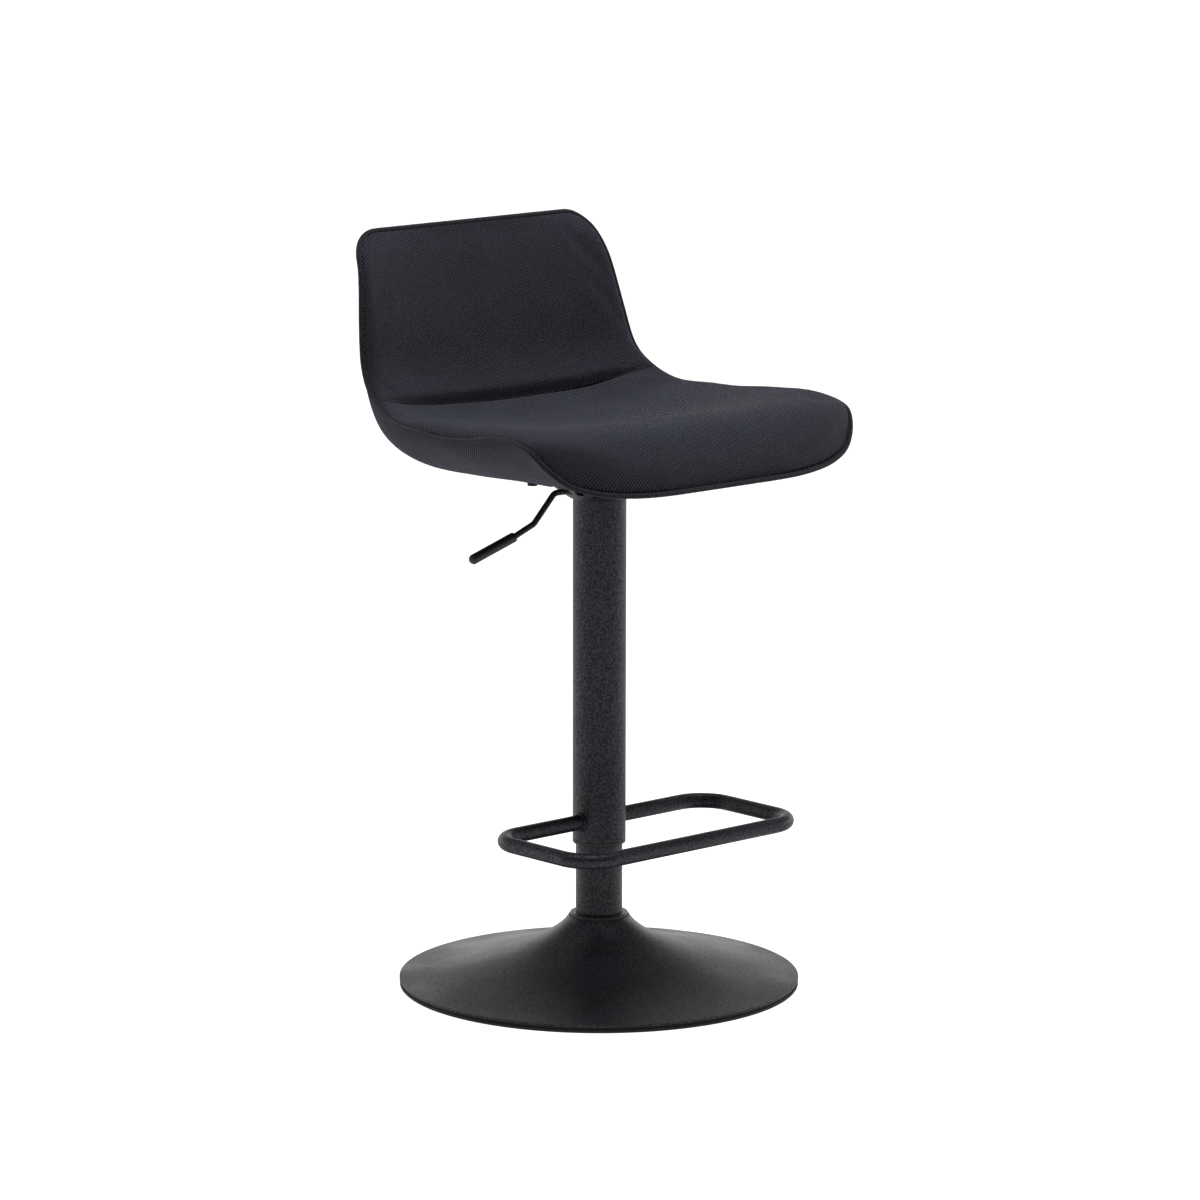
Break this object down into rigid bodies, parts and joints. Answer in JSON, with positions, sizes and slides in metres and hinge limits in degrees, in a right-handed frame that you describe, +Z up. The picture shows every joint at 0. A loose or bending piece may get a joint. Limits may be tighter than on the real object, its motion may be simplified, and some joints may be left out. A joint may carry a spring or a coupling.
{
  "type": "bar stool",
  "caption": "Gas-lift bar stool: round trumpet base, telescoping column with looped footrest and release lever, low-backed upholstered bucket seat with piping.",
  "frame": {"origin": "on the floor, at the column's axis, below the middle of the base", "axes": "+Z up the column; the sitter faces -Y; the release lever is on the sitter's right, at -X"},
  "size_m": [0.4266, 0.4063, 0.7531],
  "materials": {
    "black_powder_coat": "matte powder coat",
    "seat_fabric": "dark navy twill",
    "shell_plastic": "moulded",
    "black_plastic": "fine grain",
    "black_rubber": "matte",
    "ballast_iron": "as cast",
    "plain_steel": "zinc plated",
    "rod_chrome": "polished"
  },
  "bodies": {
    "base": {"base_trumpet": "black_powder_coat", "floor_ring": "black_rubber", "floor_plate": "black_powder_coat", "ballast_disc": "ballast_iron", "column_flange": "plain_steel", "base_screws": "plain_steel", "base_collar": "black_plastic", "lower_tube": "black_powder_coat", "lower_tube_plug": "plain_steel", "cylinder_bush": "black_plastic", "lower_race": "plain_steel"},
    "ball_cage": {"bearing_balls": "rod_chrome", "bearing_cage": "black_plastic"},
    "piston_rod": {"piston_rod": "rod_chrome", "upper_race": "plain_steel", "rod_clip": "plain_steel", "bump_stop": "black_rubber", "piston": "plain_steel", "piston_ring": "black_rubber"},
    "seat": {"gas_cylinder": "black_powder_coat", "cylinder_end_guide": "black_plastic", "valve_body": "plain_steel", "upper_tube": "black_powder_coat", "tube_guide_ring": "black_plastic", "footrest_loop": "black_powder_coat", "footrest_welds": "black_powder_coat", "seat_plate": "black_powder_coat", "taper_socket": "black_powder_coat", "lever_bracket": "black_powder_coat", "lever_pin": "plain_steel", "seat_shell": "shell_plastic", "seat_cushion": "seat_fabric", "back_cushion": "seat_fabric", "outer_cover": "seat_fabric", "piping": "seat_fabric", "seat_bolts": "plain_steel", "bolt_washers": "plain_steel", "seat_nuts": "plain_steel"},
    "lever": {"lever_rod": "black_powder_coat", "lever_grip": "black_plastic"},
    "release_pin": {"valve_pin": "rod_chrome"}
  },
  "joints": [
    {"name": "swivel", "type": "hinge", "parent": "base", "child": "piston_rod", "pos_m": [0, 0, 0.1], "axis": [0, 0, 1], "continuous": true},
    {"name": "ball_cage_spin", "type": "hinge", "parent": "base", "child": "ball_cage", "pos_m": [0, 0, 0.0221], "axis": [0, 0, 1], "continuous": true},
    {"name": "lift", "type": "slide", "parent": "piston_rod", "child": "seat", "axis": [0, 0, 1], "range_m": [0, 0.21]},
    {"name": "lever_pull", "type": "hinge", "parent": "seat", "child": "lever", "pos_m": [-0.022, 0, 0.504], "axis": [0, 1, 0], "range_deg": [0, 4], "stiffness_Nm_per_rad": 1, "springref_deg": -3.44},
    {"name": "pin_press", "type": "slide", "parent": "seat", "child": "release_pin", "axis": [0, 0, 1], "range_m": [-0.0016, 0]}
  ],
  "couplings": [
    {"joint": "ball_cage_spin", "follows": "swivel", "ratio": 0.5},
    {"joint": "pin_press", "follows": "lever_pull", "m_per_rad": -0.022}
  ]
}
